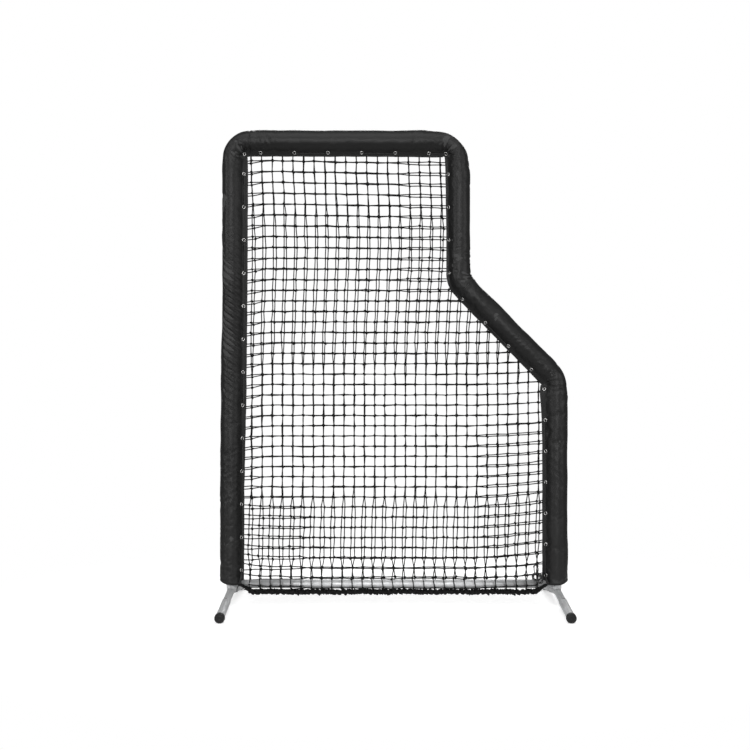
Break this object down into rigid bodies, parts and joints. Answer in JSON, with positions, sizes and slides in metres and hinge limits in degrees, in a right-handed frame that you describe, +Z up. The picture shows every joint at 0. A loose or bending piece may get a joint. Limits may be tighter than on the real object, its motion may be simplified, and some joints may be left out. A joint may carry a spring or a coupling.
{
  "type": "baseball l screen",
  "caption": "Free-standing L-shaped padded tube frame with a laced knotted net and bent tube feet, which shields a pitcher and leaves a throwing gap at the upper right.",
  "frame": {"origin": "on the floor, under the middle of the frame's width and depth", "axes": "+Z up; +X to the right seen from the front, towards the low side with the throwing gap above it; the front faces -Y"},
  "size_m": [1.582, 0.83, 2.163],
  "materials": {
    "galvanised_tube": "dull galvanised, finely mottled",
    "zinc_hardware": "bright zinc plate, also on the eyelets",
    "vinyl_cover": "semi-gloss coated vinyl cloth with creases",
    "pad_foam": "closed-cell foam",
    "net_twine": "knotted tarred twine",
    "black_cord": "thin laced cord",
    "foot_cap": "soft moulded plastic"
  },
  "bodies": {
    "frame": {"left_lower_tube": "galvanised_tube", "top_left_tube": "galvanised_tube", "top_right_tube": "galvanised_tube", "diagonal_tube": "galvanised_tube", "right_lower_tube": "galvanised_tube", "bottom_rail_tube": "galvanised_tube", "left_splice_sleeve": "galvanised_tube", "left_splice_screw_1": "zinc_hardware", "left_splice_screw_2": "zinc_hardware", "top_splice_sleeve": "galvanised_tube", "top_splice_screw_1": "zinc_hardware", "top_splice_screw_2": "zinc_hardware", "upper_right_splice_sleeve": "galvanised_tube", "upper_right_splice_screw_1": "zinc_hardware", "upper_right_splice_screw_2": "zinc_hardware", "lower_right_splice_sleeve": "galvanised_tube", "lower_right_splice_screw_1": "zinc_hardware", "lower_right_splice_screw_2": "zinc_hardware", "left_foam": "pad_foam", "left_cover": "vinyl_cover", "left_lace": "black_cord", "top_foam": "pad_foam", "top_cover": "vinyl_cover", "top_lace": "black_cord", "upper_right_foam": "pad_foam", "upper_right_cover": "vinyl_cover", "upper_right_lace": "black_cord", "diagonal_foam": "pad_foam", "diagonal_cover": "vinyl_cover", "diagonal_lace": "black_cord", "right_foam": "pad_foam", "right_cover": "vinyl_cover", "right_lace": "black_cord", "front_net_lower": "net_twine", "front_net_upper": "net_twine", "rear_net_lower": "net_twine", "rear_net_upper": "net_twine", "bottom_rope": "net_twine"},
    "left_foot": {"left_foot_tube": "galvanised_tube", "left_foot_stub": "galvanised_tube", "left_front_arm": "galvanised_tube", "left_front_arm_screw": "zinc_hardware", "left_front_cap": "foot_cap", "left_rear_arm": "galvanised_tube", "left_rear_arm_screw": "zinc_hardware", "left_rear_cap": "foot_cap"},
    "right_foot": {"right_foot_tube": "galvanised_tube", "right_foot_stub": "galvanised_tube", "right_front_arm": "galvanised_tube", "right_front_arm_screw": "zinc_hardware", "right_front_cap": "foot_cap", "right_rear_arm": "galvanised_tube", "right_rear_arm_screw": "zinc_hardware", "right_rear_cap": "foot_cap"}
  },
  "joints": [
    {"name": "left_foot_pull", "type": "slide", "parent": "frame", "child": "left_foot", "axis": [0, 0, -1], "range_m": [0, 0.12]},
    {"name": "right_foot_pull", "type": "slide", "parent": "frame", "child": "right_foot", "axis": [0, 0, -1], "range_m": [0, 0.12]}
  ]
}
